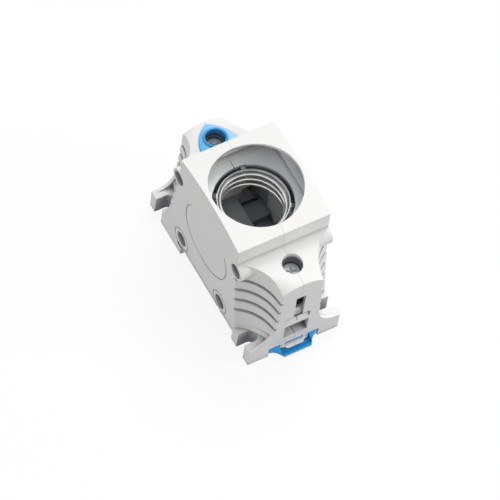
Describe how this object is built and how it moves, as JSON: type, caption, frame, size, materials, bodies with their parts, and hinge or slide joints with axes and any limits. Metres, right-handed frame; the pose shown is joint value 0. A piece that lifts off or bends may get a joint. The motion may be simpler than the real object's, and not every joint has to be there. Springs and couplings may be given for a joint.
{
  "type": "fuse holder",
  "caption": "Rail-mounted base for a screw-in fuse: moulded two-part housing, wire thread for the screw cap, two clamp terminals and a sprung rail clip.",
  "frame": {"origin": "on the axis of the screw-in fuse, in the plane of the feet, which is the middle of the pattern of four fixing slots", "axes": "+Z along the fuse axis out of the opening, +Y to the line terminal with the blue cover, -Y to the rail clip, X across the base"},
  "size_m": [0.041, 0.0869, 0.063],
  "materials": {
    "housing_plastic": "fine spark-eroded matt, moulded",
    "cover_plastic": "satin, moulded",
    "clip_plastic": "satin, moulded",
    "thread_steel": "bright drawn wire, nickel plated",
    "band_steel": "bright rolled sheet",
    "plated_copper": "tin plated, dull",
    "screw_steel": "zinc plated",
    "clamp_steel": "zinc plated, stamped",
    "bush_brass": "turned",
    "rivet_steel": "dark zinc plated",
    "spring_steel": "bright spring wire"
  },
  "bodies": {
    "base": {"left_housing": "housing_plastic", "right_housing": "housing_plastic", "line_terminal_cover": "cover_plastic", "rivet_upper_front": "rivet_steel", "rivet_upper_back": "rivet_steel", "rivet_lower_front": "rivet_steel", "rivet_lower_back": "rivet_steel", "thread_coil": "thread_steel", "thread_band": "band_steel", "band_rivets": "plated_copper", "load_bar": "plated_copper", "bottom_contact": "plated_copper", "gauge_bush": "bush_brass", "clip_spring_left": "spring_steel", "clip_spring_right": "spring_steel"},
    "load_screw_body": {"load_screw": "screw_steel"},
    "load_clamp_body": {"load_clamp": "clamp_steel"},
    "line_screw_body": {"line_screw": "screw_steel"},
    "line_clamp_body": {"line_clamp": "clamp_steel"},
    "rail_clip_body": {"rail_clip": "clip_plastic"}
  },
  "joints": [
    {"name": "load_screw_turn", "type": "hinge", "parent": "base", "child": "load_screw_body", "pos_m": [0, -0.0318, 0.03], "axis": [0, 0, -1], "range_deg": [0, 3960]},
    {"name": "load_clamp_lift", "type": "slide", "parent": "base", "child": "load_clamp_body", "axis": [0, 0, 1], "range_m": [0, 0.0088]},
    {"name": "line_screw_turn", "type": "hinge", "parent": "base", "child": "line_screw_body", "pos_m": [0, 0.0318, 0.03], "axis": [0, 0, -1], "range_deg": [0, 3960]},
    {"name": "line_clamp_lift", "type": "slide", "parent": "base", "child": "line_clamp_body", "axis": [0, 0, 1], "range_m": [0, 0.0088]},
    {"name": "rail_clip_slide", "type": "slide", "parent": "base", "child": "rail_clip_body", "axis": [0, -1, 0], "range_m": [0, 0.0035], "stiffness_N_per_m": 1500, "springref_m": -0.002, "deforming": ["clip_spring_left", "clip_spring_right"]}
  ],
  "couplings": [
    {"joint": "load_screw_turn", "follows": "load_clamp_lift", "rad_per_m": 7854},
    {"joint": "line_screw_turn", "follows": "line_clamp_lift", "rad_per_m": 7854}
  ]
}
